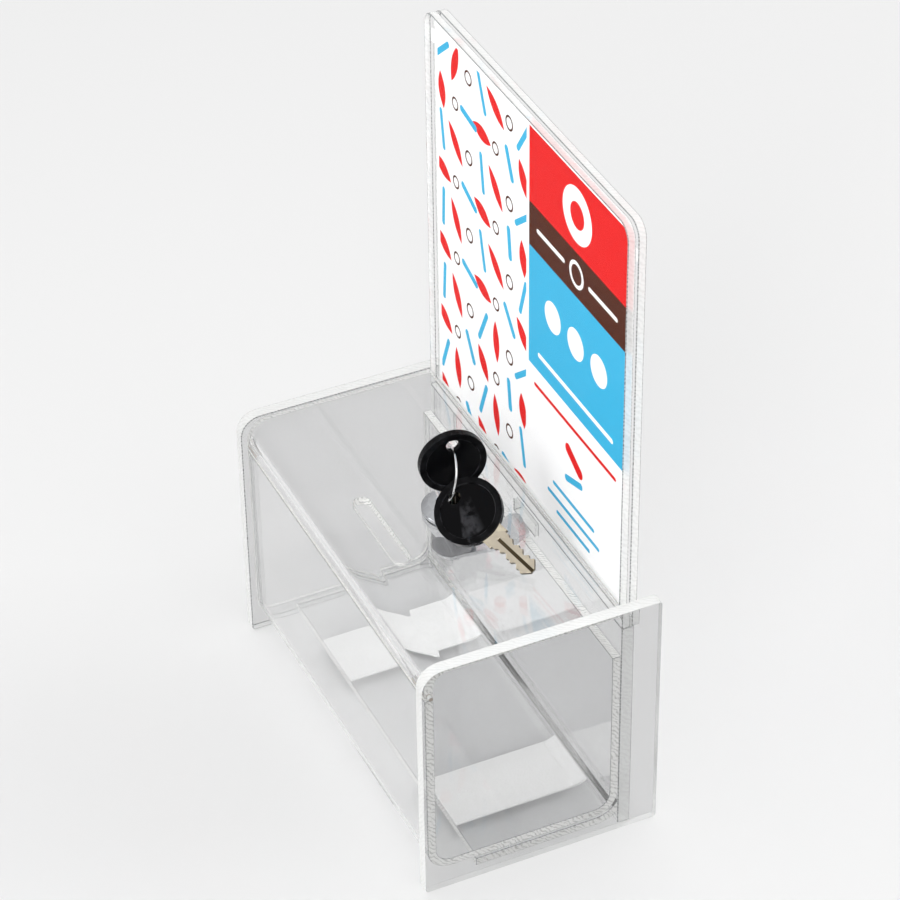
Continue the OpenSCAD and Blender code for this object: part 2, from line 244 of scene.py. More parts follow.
def ease(piece: Piece, width: float, strip: int = -1) -> None:
    """Breaks a piece's sharp edges with a small bevel and shades its curves smooth.

    Args:
        piece: The piece.
        width: The bevel's width.
        strip: The material slot of the bevel, or -1 for that of the faces beside it.
    """
    bevel = piece.modifiers.new("eased_edges", "BEVEL")
    bevel.width = width
    bevel.segments = EASE_STEPS
    bevel.limit_method = "ANGLE"
    bevel.angle_limit = math.radians(SHARP_TURN)
    bevel.material = strip
    apply_modifiers(piece)
    bpy.ops.object.shade_smooth_by_angle(angle=math.radians(SMOOTH_TURN))


def cut(piece: Piece, cutter: Piece) -> None:
    """Cuts a piece with another and drops the cutter.

    Args:
        piece: The piece that gets the hole.
        cutter: The solid that is taken away from it.
    """
    hole = piece.modifiers.new("hole", "BOOLEAN")
    hole.object = cutter
    hole.operation = "DIFFERENCE"
    hole.solver = "EXACT"
    apply_modifiers(piece)
    bpy.data.objects.remove(cutter)


def add_drill(middle: Vector, radius: float, depth: float, turn: Triple, sides: int) -> Piece:
    """Adds a round cutter.

    Args:
        middle: The cutter's middle.
        radius: Its radius.
        depth: Its whole length.
        turn: Its turn from upright.
        sides: The flats round it.

    Returns:
        The cutter, with its place in its mesh.
    """
    deselect_all()
    bpy.ops.mesh.primitive_cylinder_add(
        vertices=sides, radius=radius, depth=depth, location=middle, rotation=turn)
    drill = bpy.context.object
    settle(drill)
    return drill


def bore(piece: Piece, pin: str, play: float) -> None:
    """Bores a piece along X where a CAD pin runs.

    Args:
        piece: The piece that gets the bore.
        pin: The CAD node of the pin.
        play: The room round the pin.
    """
    low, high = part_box(pin)
    radius = (high.z - low.z) / 2 + play
    depth = high.x - low.x + 2 * play
    cut(piece, add_drill((low + high) / 2, radius, depth, (0.0, math.pi / 2, 0.0), BORE_SIDES))


def recalculate_outside(piece: Piece) -> None:
    """Points every face of a closed piece outwards.

    Args:
        piece: The piece.
    """
    pick(piece)
    bpy.ops.object.mode_set(mode="EDIT")
    bpy.ops.mesh.select_all(action="SELECT")
    bpy.ops.mesh.normals_make_consistent(inside=False)
    bpy.ops.object.mode_set(mode="OBJECT")


def softened_copy(node: str, width: float) -> Piece:
    """Copies a CAD node, joins its loose triangles into whole faces and breaks its edges.

    Args:
        node: The CAD node's name.
        width: The width of the broken edges.

    Returns:
        The copy, which does not yet ride on the node's body.
    """
    source = frame["nodes"][node]
    piece = bpy.data.objects.new(f"{node}_finished", source.data.copy())
    bpy.context.scene.collection.objects.link(piece)
    piece.data.materials.clear()
    pick(piece)
    bpy.ops.object.mode_set(mode="EDIT")
    bpy.ops.mesh.select_all(action="SELECT")
    bpy.ops.mesh.remove_doubles(threshold=CLOSE / 4)
    bpy.ops.mesh.dissolve_limited(angle_limit=math.radians(FLAT_TURN))
    bpy.ops.object.mode_set(mode="OBJECT")
    ease(piece, width)
    return piece


def stand_for(piece: Piece, node: str) -> None:
    """Puts a finished piece in the place of a CAD node.

    Args:
        piece: The finished piece.
        node: The CAD node that it replaces.
    """
    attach(piece, frame["nodes"][node]["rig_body"])
    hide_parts(node)
    LOG.info("%s stands for %s, %d faces", piece.name, node, len(piece.data.polygons))


def dress(piece: Piece, *materials: Material) -> None:
    """Gives a piece its materials.

    Args:
        piece: The piece.
        materials: The materials, in the order of its material slots.
    """
    piece.data.materials.clear()
    for material in materials:
        piece.data.materials.append(material)


def assign(piece: Piece, index: int, test: FaceTest) -> None:
    """Gives one material slot to the faces that pass a test.

    Args:
        piece: The piece.
        index: The material slot's number.
        test: Says of a face whether it counts.
    """
    for face in piece.data.polygons:
        if test(face):
            face.material_index = index


# ---------------------------------------------------------------- shader work


def opaque(colour: Triple) -> tuple[float, float, float, float]:
    """Gives a colour full cover, as a colour socket takes it."""
    return (*colour, 1.0)


class Tree:
    """A short way to add shader nodes and join them up."""

    def __init__(self, tree: bpy.types.NodeTree) -> None:
        """Starts on an empty tree."""
        self.tree = tree
        self.tree.nodes.clear()

    def feed(self, node: bpy.types.Node, inputs: dict[str | int, Value]) -> None:
        """Gives a node's inputs their values.

        Args:
            node: The node.
            inputs: Values or sockets, by the input's name or number.
        """
        for name, value in inputs.items():
            if isinstance(value, Socket):
                self.tree.links.new(value, node.inputs[name])
            else:
                node.inputs[name].default_value = value

    def node(
            self, kind: str, inputs: dict[str | int, Value] | None = None,
            **settings: object) -> bpy.types.Node:
        """Adds a node.

        Args:
            kind: The node's type without its ShaderNode prefix.
            inputs: Values or sockets, by the input's name or number.
            settings: The node's own properties.

        Returns:
            The node.
        """
        made = self.tree.nodes.new("ShaderNode" + kind)
        for name, value in settings.items():
            setattr(made, name, value)
        self.feed(made, inputs or {})
        return made

    def math(self, operation: str, *values: Value) -> Socket:
        """Adds a Math node and returns its output."""
        return self.node("Math", dict(enumerate(values)), operation=operation).outputs[0]

    def vector(self, operation: str, *values: Value) -> Socket:
        """Adds a Vector Math node and returns its vector output."""
        return self.node("VectorMath", dict(enumerate(values)), operation=operation).outputs[0]

    def place(self) -> Socket:
        """Gives the place on the piece, in its own coordinates."""
        return self.node("TexCoord").outputs["Object"]

    def noise(self, place: Socket, scale: float | Socket, detail: float) -> Socket:
        """Adds a noise and returns its value."""
        return self.node("TexNoise", {"Vector": place, "Scale": scale, "Detail": detail}).outputs[0]

    def rotate(self, place: Socket, turn: Socket | Triple) -> Socket:
        """Turns a place about the origin and returns where it comes to."""
        inputs = {"Vector": place, "Rotation": turn}
        return self.node("VectorRotate", inputs, rotation_type="EULER_XYZ").outputs[0]

    def blend(self, factor: Value, first: Value, second: Value) -> Socket:
        """Mixes two colours, by a factor from 0 for the first to 1 for the second."""
        inputs = {0: factor, 6: first, 7: second}
        return self.node("Mix", inputs, data_type="RGBA").outputs[2]

    def spread(
            self, value: Socket, low: float, high: float, to_low: float = 0.0,
            to_high: float = 1.0) -> Socket:
        """Carries a value from one range to another, and stops at its ends."""
        inputs = {0: value, 1: low, 2: high, 3: to_low, 4: to_high}
        return self.node("MapRange", inputs).outputs[0]

    def far(self, along: Socket, across: Socket) -> Socket:
        """Gives the distance from the origin of a place in a plane."""
        squares = [self.math("POWER", side, 2.0) for side in (along, across)]
        return self.math("SQRT", self.math("ADD", *squares))


def new_group(
        name: str, inputs: dict[str, str], outputs: dict[str, str]) -> tuple[Tree, dict, bpy.types.Node]:
    """Makes a shader node group.

    Args:
        name: The group's name.
        inputs: Its inputs' names and socket kinds.
        outputs: Its outputs' names and socket kinds.

    Returns:
        The group's tree, its input sockets by name, and its output node.
    """
    group = bpy.data.node_groups.new(name, "ShaderNodeTree")
    for label, kind in inputs.items():
        group.interface.new_socket(name=label, in_out="INPUT", socket_type=f"NodeSocket{kind}")
    for label, kind in outputs.items():
        group.interface.new_socket(name=label, in_out="OUTPUT", socket_type=f"NodeSocket{kind}")
    tree = Tree(group)
    start = group.nodes.new("NodeGroupInput")
    end = group.nodes.new("NodeGroupOutput")
    return tree, {label: start.outputs[label] for label in inputs}, end


class Effects:
    """The shader effects that more than one finish uses, each a node group built once."""

    def __init__(self) -> None:
        """Builds every group."""
        self.smudges = self._smudges()
        self.saw_marks = self._saw_marks()
        self.fine_grain = self._fine_grain()
        self.edge_wear = self._edge_wear()
        self.motif = self._motif()

    @staticmethod
    def _smudges() -> bpy.types.NodeTree:
        """Makes soft handling marks: large cloudy patches with finer specks in them.

        Returns:
            The group.
        """
        fineness = 9.0
        tree, given, end = new_group(
            "handling_smudges", {"Scale": "Float", "Amount": "Float"}, {"Mask": "Float"})
        place = tree.place()
        cloud = tree.noise(place, given["Scale"], 3.0)
        speck = tree.noise(place, tree.math("MULTIPLY", given["Scale"], fineness), 4.0)
        both = tree.math("MULTIPLY", tree.spread(cloud, 0.5, 0.72), tree.spread(speck, 0.4, 0.7, 0.3, 1.0))
        tree.feed(end, {"Mask": tree.math("MULTIPLY", both, given["Amount"])})
        return tree.tree

    @staticmethod
    def _saw_marks() -> bpy.types.NodeTree:
        """Makes slanting saw lines of uneven strength, as on a cut end of plastic sheet.

        Returns:
            The group.
        """
        wobble, line_weight = 2.8, 0.45
        tree, given, end = new_group(
            "saw_marks", {"Pitch": "Float", "Slant": "Float"}, {"Height": "Float", "Frost": "Float"})
        place = tree.place()
        turn = tree.node("CombineXYZ", {0: given["Slant"], 1: given["Slant"], 2: 0.0}).outputs[0]
        across = tree.node("SeparateXYZ", {0: tree.rotate(place, turn)}).outputs[2]
        drift = tree.math("MULTIPLY", tree.noise(place, 260.0, 2.0), wobble)
        phase = tree.math("ADD", tree.math("DIVIDE", across, given["Pitch"]), drift)
        wave = tree.math("SINE", tree.math("MULTIPLY", phase, math.tau))
        height = tree.math("ADD", tree.math("MULTIPLY", wave, line_weight), tree.noise(place, 900.0, 3.0))
        tree.feed(end, {"Height": height, "Frost": tree.spread(height, 0.0, 0.62)})
        return tree.tree

    @staticmethod
    def _fine_grain() -> bpy.types.NodeTree:
        """Makes a fine even grain for the skin of foam, card, moulded plastic and brushed metal.

        Returns:
            The group.
        """
        cell_weight = 0.6
        tree, given, end = new_group("fine_grain", {"Scale": "Float"}, {"Height": "Float", "Mask": "Float"})
        place = tree.place()
        cells = tree.node("TexVoronoi", {"Vector": place, "Scale": given["Scale"]}).outputs["Distance"]
        soft = tree.noise(place, given["Scale"], 4.0)
        height = tree.math("ADD", tree.math("MULTIPLY", cells, cell_weight), soft)
        tree.feed(end, {"Height": height, "Mask": tree.spread(soft, 0.35, 0.65)})
        return tree.tree

    @staticmethod
    def _edge_wear() -> bpy.types.NodeTree:
        """Makes light rubbing on the edges that stand out, broken up by noise.

        Returns:
            The group.
        """
        tree, given, end = new_group("edge_wear", {"Amount": "Float", "Scale": "Float"}, {"Mask": "Float"})
        worn = tree.spread(tree.node("NewGeometry").outputs["Pointiness"], 0.52, 0.6)
        noise = tree.noise(tree.place(), given["Scale"], 5.0)
        broken = tree.math("MULTIPLY", worn, tree.spread(noise, 0.4, 0.6))
        tree.feed(end, {"Mask": tree.math("MULTIPLY", broken, given["Amount"])})
        return tree.tree

    @staticmethod
    def _motif() -> bpy.types.NodeTree:
        """Makes one printed mark in each cell of a grid: a leaf, a bar or a ring.

        Length and Width are half sizes, Point says how far a bar tapers to a leaf, and Hollow how much of a
        disc is open.

        Returns:
            The group.
        """
        turn_range, least_length = 1.4, 0.001
        tree, given, end = new_group(
            "printed_motif",
            {"Place": "Vector", "Cell": "Float", "Shift": "Vector", "Length": "Float", "Width": "Float",
             "Point": "Float", "Hollow": "Float", "Turn": "Float"},
            {"Mask": "Float"})
        moved = tree.vector("ADD", given["Place"], given["Shift"])
        size = tree.node("CombineXYZ", {0: given["Cell"], 1: given["Cell"], 2: 1.0}).outputs[0]
        cells = tree.vector("DIVIDE", moved, size)
        corner = tree.vector("FLOOR", cells)
        middle = tree.vector("SUBTRACT", tree.vector("SUBTRACT", cells, corner), (0.5, 0.5, 0.5))
        local = tree.vector("MULTIPLY", middle, size)
        chance = tree.node("TexWhiteNoise", {"Vector": corner}, noise_dimensions="3D").outputs["Value"]
        swing = tree.math("MULTIPLY", tree.math("SUBTRACT", chance, 0.5), turn_range)
        turn = tree.node("CombineXYZ", {2: tree.math("ADD", swing, given["Turn"])}).outputs[0]
        split = tree.node("SeparateXYZ", {0: tree.rotate(local, turn)})
        along = tree.math("ABSOLUTE", split.outputs[0])
        beyond = tree.math("MAXIMUM", tree.math("SUBTRACT", along, given["Length"]), 0.0)
        share = tree.math("DIVIDE", along, tree.math("MAXIMUM", given["Length"], least_length))
        taper = tree.math("MULTIPLY", tree.math("POWER", share, 2.0), given["Point"])
        width = tree.math("MULTIPLY", given["Width"], tree.math("SUBTRACT", 1.0, taper))
        far = tree.far(beyond, split.outputs[1])
        inside = tree.math("LESS_THAN", far, width)
        outside_hole = tree.math("GREATER_THAN", far, tree.math("MULTIPLY", width, given["Hollow"]))
        tree.feed(end, {"Mask": tree.math("MULTIPLY", inside, outside_hole)})
        return tree.tree


class Maker:
    """Starts a material: its tree, one Principled shader and an output."""

    def __init__(self, name: str) -> None:
        """Makes the material and joins its shader to its output.

        Args:
            name: The material's name.
        """
        self.material = bpy.data.materials.new(name)
        self.material.use_nodes = True
        self.tree = Tree(self.material.node_tree)
        self.shader = self.tree.node("BsdfPrincipled")
        self.output = self.tree.node("OutputMaterial", {0: self.shader.outputs[0]})

    def set(self, **values: Value) -> None:
        """Sets shader inputs by name, with an underscore for each space in a name."""
        self.tree.feed(self.shader, {name.replace("_", " "): value for name, value in values.items()})

    def group(self, group: bpy.types.NodeTree, **values: Value) -> bpy.types.Node:
        """Places an effect with its own values."""
        return self.tree.node("Group", values, node_tree=group)

    def bump(self, height: Socket, strength: float, distance: float) -> None:
        """Turns a height into the shader's normal."""
        inputs = {"Height": height, "Strength": strength, "Distance": distance}
        self.set(Normal=self.tree.node("Bump", inputs).outputs[0])

    def let_lamps_through(self, tint: Triple) -> None:
        """Lets rays from lamps pass straight through, tinted, as through a clear sheet.

        Args:
            tint: The tint of the light that comes through.
        """
        path = self.tree.node("LightPath").outputs["Is Shadow Ray"]
        clear = self.tree.node("BsdfTransparent", {0: opaque(tint)}).outputs[0]
        mixed = self.tree.node("MixShader", {0: path, 1: self.shader.outputs[0], 2: clear}).outputs[0]
        self.tree.feed(self.output, {0: mixed})


# ---------------------------------------------------------------- finishes


@dataclass(frozen=True)
class ClearAcrylic:
    """Polished cast sheet with faint handling marks."""

    name: str = "clear_acrylic_face"
    tint: Triple = (0.93, 0.931, 0.933)
    shade: Triple = (0.985, 0.986, 0.987)
    index: float = ACRYLIC_INDEX
    smudged: float = 0.05

    def build(self, effects: Effects) -> Material:
        """Makes the material.

        Args:
            effects: The shared effects.

        Returns:
            The material.
        """
        maker = Maker(self.name)
        marks = maker.group(effects.smudges, Scale=38.0, Amount=1.0).outputs["Mask"]
        maker.set(Base_Color=opaque(self.tint), Transmission_Weight=1.0, IOR=self.index,
                  Roughness=maker.tree.spread(marks, 0.0, 1.0, 0.0, self.smudged))
        maker.let_lamps_through(self.shade)
        return maker.material


@dataclass(frozen=True)
class SawnAcrylic:
    """A cut edge of the sheet: frosted, bright, with slanting saw lines. Made dark grey, it is also the
    painted shade on the bevels between faces and cut edges.
    """

    name: str
    colour: Triple
    clearness: float
    pitch: float
    rough: float
    marks: float
    dip: float
    slant: float = 0.8
    depth: float = 0.06 * MM
    shade: Triple = (0.85, 0.86, 0.84)
    clear_share: float = 0.6
    frosted_share: float = 1.5

    def build(self, effects: Effects) -> Material:
        """Makes the material.

        Args:
            effects: The shared effects.

        Returns:
            The material.
        """
        maker = Maker(self.name)
        saw = maker.group(effects.saw_marks, Pitch=self.pitch, Slant=self.slant)
        frost = saw.outputs["Frost"]
        darker = tuple(part * self.dip for part in self.colour)
        maker.set(Base_Color=maker.tree.blend(frost, opaque(darker), opaque(self.colour)),
                  Transmission_Weight=self.clearness, IOR=ACRYLIC_INDEX,
                  Roughness=maker.tree.spread(
                      frost, 0.0, 1.0, self.rough * self.clear_share, self.rough * self.frosted_share))
        maker.bump(saw.outputs["Height"], self.marks, self.depth)
        maker.let_lamps_through(self.shade)
        return maker.material


@dataclass(frozen=True)
class Metal:
    """A plated or bare metal with fine brushing, patchy polish and worn edges."""

    name: str
    colour: Triple
    worn: Triple
    rough: float
    wear: float = 0.6
    grain: float = 2600.0
    smudged: float = 0.16

    def build(self, effects: Effects) -> Material:
        """Makes the material.

        Args:
            effects: The shared effects.

        Returns:
            The material.
        """
        maker = Maker(self.name)
        grain = maker.group(effects.fine_grain, Scale=self.grain)
        smudge = maker.group(effects.smudges, Scale=160.0, Amount=0.9).outputs["Mask"]
        wear = maker.group(effects.edge_wear, Amount=self.wear, Scale=420.0).outputs["Mask"]
        maker.set(Base_Color=maker.tree.blend(wear, opaque(self.colour), opaque(self.worn)), Metallic=1.0,
                  Roughness=maker.tree.spread(smudge, 0.0, 1.0, self.rough, self.rough + self.smudged))
        maker.bump(grain.outputs["Height"], 0.18, 0.02 * MM)
        return maker.material


@dataclass(frozen=True)
class MouldedPlastic:
    """Glossy black moulding with a faint orange-peel skin and dull handling marks."""

    colour: Triple = (0.0025, 0.0025, 0.003)
    worn: Triple = (0.05, 0.05, 0.055)
    rough: float = 0.2
    smudged: float = 0.2

    def build(self, effects: Effects) -> Material:
        """Makes the material.

        Args:
            effects: The shared effects.

        Returns:
            The material.
        """
        maker = Maker("black_moulded_bow")
        grain = maker.group(effects.fine_grain, Scale=1300.0)
        smudge = maker.group(effects.smudges, Scale=120.0, Amount=0.4).outputs["Mask"]
        wear = maker.group(effects.edge_wear, Amount=0.7, Scale=300.0).outputs["Mask"]
        maker.set(Base_Color=maker.tree.blend(wear, opaque(self.colour), opaque(self.worn)),
                  Roughness=maker.tree.spread(smudge, 0.0, 1.0, self.rough, self.rough + self.smudged),
                  Specular_IOR_Level=0.06)
        maker.bump(grain.outputs["Height"], 0.22, 0.03 * MM)
        return maker.material


@dataclass(frozen=True)
class Foam:
    """White closed-cell foam tape with a pored skin."""

    colour: Triple = (0.99, 0.99, 0.985)
    pores: Triple = (0.94, 0.94, 0.93)

    def build(self, effects: Effects) -> Material:
        """Makes the material.

        Args:
            effects: The shared effects.

        Returns:
            The material.
        """
        maker = Maker("white_foam_tape")
        grain = maker.group(effects.fine_grain, Scale=950.0)
        shade = maker.tree.blend(grain.outputs["Mask"], opaque(self.pores), opaque(self.colour))
        maker.set(Base_Color=shade, Roughness=0.85, Subsurface_Weight=0.1,
                  Subsurface_Radius=(2 * MM, 2 * MM, 2 * MM))
        maker.bump(grain.outputs["Height"], 0.6, 0.15 * MM)
        return maker.material


class Ink(Enum):
    """The sign's printing inks, by their colour."""

    RED = (0.74, 0.008, 0.008)
    BROWN = (0.07, 0.012, 0.002)
    BLUE = (0.045, 0.43, 0.7)
    WHITE = (0.97, 0.97, 0.97)
    GREY = (0.42, 0.4, 0.39)


@dataclass(frozen=True)
class Mark:
    """A shape printed on the sign.

    Its place is in millimetres from the card's lower left corner, its length and width are half sizes, and
    its turn is in radians.
    """

    x: float
    z: float
    length: float
    width: float
    ink: Ink
    hollow: float = 0.0
    turn: float = 0.0
    point: float = 0.0


@dataclass(frozen=True)
class PrintedCard:
    """The sign: a scattered pattern on the left, and a banded panel with plain marks on the right."""

    panel_left: float = 73.9
    panel_right: float = 145.0
    side_margin: float = 2.0
    end_margin: float = 1.5
    fade: float = 0.02
    bands: tuple[tuple[float, float, Ink], ...] = (
        (122.6, 152.0, Ink.RED), (105.2, 122.6, Ink.BROWN), (57.0, 105.2, Ink.BLUE))
    repeat: float = 32.0
    scatter: tuple[Mark, ...] = (
        Mark(0.0, 0.0, 8.6, 2.5, Ink.RED, turn=1.25, point=1.0),
        Mark(10.7, 16.0, 7.2, 2.8, Ink.RED, turn=0.75, point=1.0),
        Mark(10.7, 0.0, 7.0, 1.15, Ink.BLUE, turn=1.8),
        Mark(21.3, 16.0, 5.4, 1.4, Ink.BLUE, turn=0.8),
        Mark(21.3, 0.0, 0.0, 2.9, Ink.BROWN, hollow=0.72),
        Mark(0.0, 16.0, 0.0, 2.6, Ink.BROWN, hollow=0.7))
    marks: tuple[Mark, ...] = (
        Mark(109.0, 137.0, 0.0, 10.5, Ink.WHITE),
        Mark(109.0, 137.0, 0.0, 5.0, Ink.RED),
        Mark(109.0, 113.9, 0.0, 5.2, Ink.WHITE, hollow=0.72),
        Mark(90.0, 113.9, 9.5, 0.9, Ink.WHITE),
        Mark(128.0, 113.9, 9.5, 0.9, Ink.WHITE),
        Mark(92.0, 86.0, 0.0, 6.0, Ink.WHITE),
        Mark(109.0, 86.0, 0.0, 6.0, Ink.WHITE),
        Mark(126.0, 86.0, 0.0, 6.0, Ink.WHITE),
        Mark(109.0, 64.0, 27.0, 1.0, Ink.WHITE),
        Mark(109.0, 50.0, 30.0, 0.8, Ink.RED),
        Mark(109.0, 37.0, 5.0, 2.2, Ink.RED, turn=0.5),
        Mark(109.0, 28.0, 5.5, 1.4, Ink.BLUE, turn=-0.3),
        Mark(109.0, 17.5, 15.0, 0.8, Ink.BLUE),
        Mark(109.0, 12.0, 19.0, 0.8, Ink.BLUE),
        Mark(109.0, 6.5, 12.0, 0.8, Ink.BLUE))

    @staticmethod
    def _place(tree: Tree, corner: Vector) -> Socket:
        """Gives the place on the card in millimetres from its lower left corner, as X and Y.

        Args:
            tree: The material's tree.
            corner: The card's lower left corner.

        Returns:
            The place.
        """
        moved = tree.vector("SUBTRACT", tree.place(), tuple(corner))
        split = tree.node("SeparateXYZ", {0: tree.vector("DIVIDE", moved, (MM, MM, MM))})
        return tree.node("CombineXYZ", {0: split.outputs[0], 1: split.outputs[2]}).outputs[0]

    @staticmethod
    def _inside(tree: Tree, place: Socket, low: tuple[float, float], high: tuple[float, float]) -> Socket:
        """Says by 1 or 0 whether a place lies in a rectangle.

        Args:
            tree: The material's tree.
            place: The place on the card.
            low: The rectangle's lower left corner.
            high: Its upper right corner.

        Returns:
            The answer.
        """
        split = tree.node("SeparateXYZ", {0: place})
        result = None
        for side in (0, 1):
            for check, limit in (("GREATER_THAN", low[side]), ("LESS_THAN", high[side])):
                passed = tree.math(check, split.outputs[side], limit)
                result = passed if result is None else tree.math("MULTIPLY", result, passed)
        return result

    @staticmethod
    def _shape(tree: Tree, place: Socket, mark: Mark) -> Socket:
        """Says by 1 or 0 whether a place lies on a mark: a round-ended bar, a disc or a ring.

        Args:
            tree: The material's tree.
            place: The place on the card.
            mark: The mark.

        Returns:
            The answer.
        """
        below_nothing = 0.01
        local = tree.vector("SUBTRACT", place, (mark.x, mark.z, 0.0))
        split = tree.node("SeparateXYZ", {0: tree.rotate(local, (0.0, 0.0, mark.turn))})
        along = tree.math("ABSOLUTE", split.outputs[0])
        beyond = tree.math("MAXIMUM", tree.math("SUBTRACT", along, mark.length), 0.0)
        far = tree.far(beyond, split.outputs[1])
        inside = tree.math("LESS_THAN", far, mark.width)
        outside_hole = tree.math("GREATER_THAN", far, mark.width * mark.hollow - below_nothing)
        return tree.math("MULTIPLY", inside, outside_hole)

    def build(self, effects: Effects, corner: Vector, height: float) -> Material:
        """Makes the material.

        Args:
            effects: The shared effects.
            corner: The card's lower left corner.
            height: The card's height in millimetres.

        Returns:
            The material.
        """
        maker = Maker("printed_sign_card")
        tree = maker.tree
        place = self._place(tree, corner)
        colour = opaque(Ink.WHITE.value)
        left_half = self._inside(
            tree, place, (self.side_margin, self.end_margin),
            (self.panel_left - self.side_margin, height - self.end_margin))
        for spot in self.scatter:
            mark = maker.group(
                effects.motif, Place=place, Cell=self.repeat, Shift=(spot.x, spot.z, 0.0), Length=spot.length,
                Width=spot.width, Point=spot.point, Hollow=spot.hollow, Turn=spot.turn).outputs["Mask"]
            colour = tree.blend(tree.math("MULTIPLY", mark, left_half), colour, opaque(spot.ink.value))
        for low, high, ink in self.bands:
            band = self._inside(tree, place, (self.panel_left, low), (self.panel_right, high))
            colour = tree.blend(band, colour, opaque(ink.value))
        for mark in self.marks:
            colour = tree.blend(self._shape(tree, place, mark), colour, opaque(mark.ink.value))
        grain = maker.group(effects.fine_grain, Scale=1500.0)
        worn = tree.math("MULTIPLY", grain.outputs["Mask"], self.fade)
        maker.set(Base_Color=tree.blend(worn, colour, opaque(Ink.GREY.value)), Roughness=0.5,
                  Specular_IOR_Level=0.05)
        maker.bump(grain.outputs["Height"], 0.12, 0.02 * MM)
        return maker.material


# ---------------------------------------------------------------- acrylic pieces


@dataclass
class FlatPanel:
    """A flat sheet of acrylic with rounded corners, polished faces and frosted edges."""

    node: str
    across: Axis
    corners: dict[tuple[int, int], float] = field(default_factory=dict)
    inset: Vector = field(default_factory=lambda: Vector((0.0, 0.0, 0.0)))
    eased: float = 0.3 * MM
    pin: str = ""
    pin_play: float = 0.06 * MM
    slot: tuple[Vector, Vector] | None = None

    def build(self, face: Material, edge: Material, arris: Material) -> None:
        """Makes the panel in the place of its CAD node.

        Args:
            face: The polished faces' material.
            edge: The cut edges' material.
            arris: The material of the narrow bevels between them, a dark grey that is painted shade.
        """
        low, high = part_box(self.node)
        low, high = low + self.inset, high - self.inset
        panel = add_block(f"{self.node}_sheet", low, high)
        first, second = [axis.value for axis in Axis if axis is not self.across]
        for (side, end), radius in self.corners.items():
            at = ((low, high)[side > 0][first], (low, high)[end > 0][second])
            round_corner(panel, self.across, at, radius)
        if self.pin:
            bore(panel, self.pin, self.pin_play)
        if self.slot:
            cut(panel, add_block("slot_cutter", *self.slot))
        dress(panel, face, edge, arris)
        assign(panel, Skin.EDGE.value, lambda poly: abs(poly.normal[self.across.value]) < ALONG)
        ease(panel, self.eased, Skin.ARRIS.value)
        stand_for(panel, self.node)


@dataclass
class BentSheet:
    """A sheet bent along X: straight runs and quarter bends that follow the sheet's middle surface."""

    node: str
    wall: float = 3.2 * MM
    bend_radius: float = 9 * MM
    eased: float = 0.2 * MM
    bend_steps: int = 12

    def start(self, half_length: float, y: float, z: float) -> Piece:
        """Lays the first edge of the sheet along X, selected and open for edit work.

        Args:
            half_length: Half the sheet's length along X.
            y: The edge's place along Y.
            z: The edge's height.

        Returns:
            The sheet.
        """
        reach = 1.0
        deselect_all()
        bpy.ops.mesh.primitive_plane_add(size=2 * reach, location=(0, y, z))
        sheet = bpy.context.object
        sheet.name = sheet.data.name = f"{self.node}_sheet"
        sheet.scale = (half_length / reach, 1.0, 1.0)
        settle(sheet)
        edit(sheet, Picked.POINTS)
        for vertex in sheet.data.vertices:
            vertex.select = vertex.co.y > y
        bpy.ops.object.mode_set(mode="EDIT")
        bpy.ops.mesh.delete(type="VERT")
        bpy.ops.mesh.select_all(action="SELECT")
        bpy.ops.transform.translate(value=(0, reach, 0))
        return sheet

    def run(self, dy: float, dz: float) -> None:
        """Carries the sheet on straight."""
        bpy.ops.mesh.extrude_region_move(TRANSFORM_OT_translate={"value": (0, dy, dz)})

    def bend(self, y: float, z: float, degrees: float) -> None:
        """Carries the sheet on round a bend about a centre, by the right-hand rule about X."""
        bpy.ops.mesh.spin(
            steps=self.bend_steps, angle=math.radians(degrees), center=(0, y, z), axis=(-1, 0, 0))

    def thicken(self, sheet: Piece, finishes: tuple[Material, ...]) -> None:
        """Gives the sheet its wall.

        Args:
            sheet: The sheet, still open for edit work.
            finishes: The materials of its faces, its cut edges and the bevels between them, whose dark grey
                is painted shade.
        """
        bpy.ops.mesh.select_all(action="SELECT")
        bpy.ops.mesh.remove_doubles(threshold=CLOSE / 2)
        bpy.ops.object.mode_set(mode="OBJECT")
        dress(sheet, *finishes)
        wall = sheet.modifiers.new("wall", "SOLIDIFY")
        wall.thickness = self.wall
        wall.offset = 0.0
        wall.use_even_offset = True
        wall.material_offset_rim = Skin.EDGE.value
        apply_modifiers(sheet)
        recalculate_outside(sheet)

    def finish(self, sheet: Piece) -> None:
        """Breaks the sheet's edges and puts it in the place of its CAD node."""
        ease(sheet, self.eased, Skin.ARRIS.value)
        stand_for(sheet, self.node)


@dataclass
class Shell(BentSheet):
    """The front wall, floor and back wall of the money space."""

    node: str = "body_shell"
    side_gap: float = 0.06 * MM
    back_gap: float = 0.05 * MM
    back_wall_top: float = 78 * MM

    def build(self, *finishes: Material) -> None:
        """Makes the shell in the place of its CAD node.

        Args:
            finishes: The materials of its faces, its cut edges and the bevels between them.
        """
        low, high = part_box(self.node)
        middle = self.wall / 2
        front, back, floor = low.y + middle, high.y - middle - self.back_gap, low.z + middle
        arc = self.bend_radius - middle
        sheet = self.start(high.x - self.side_gap, front, high.z)
        self.run(0, floor + arc - high.z)
        self.bend(front + arc, floor + arc, 90)
        self.run(back - front - 2 * arc, 0)
        self.bend(back - arc, floor + arc, 90)
        self.run(0, self.back_wall_top - floor - arc)
        self.thicken(sheet, finishes)
        self.finish(sheet)


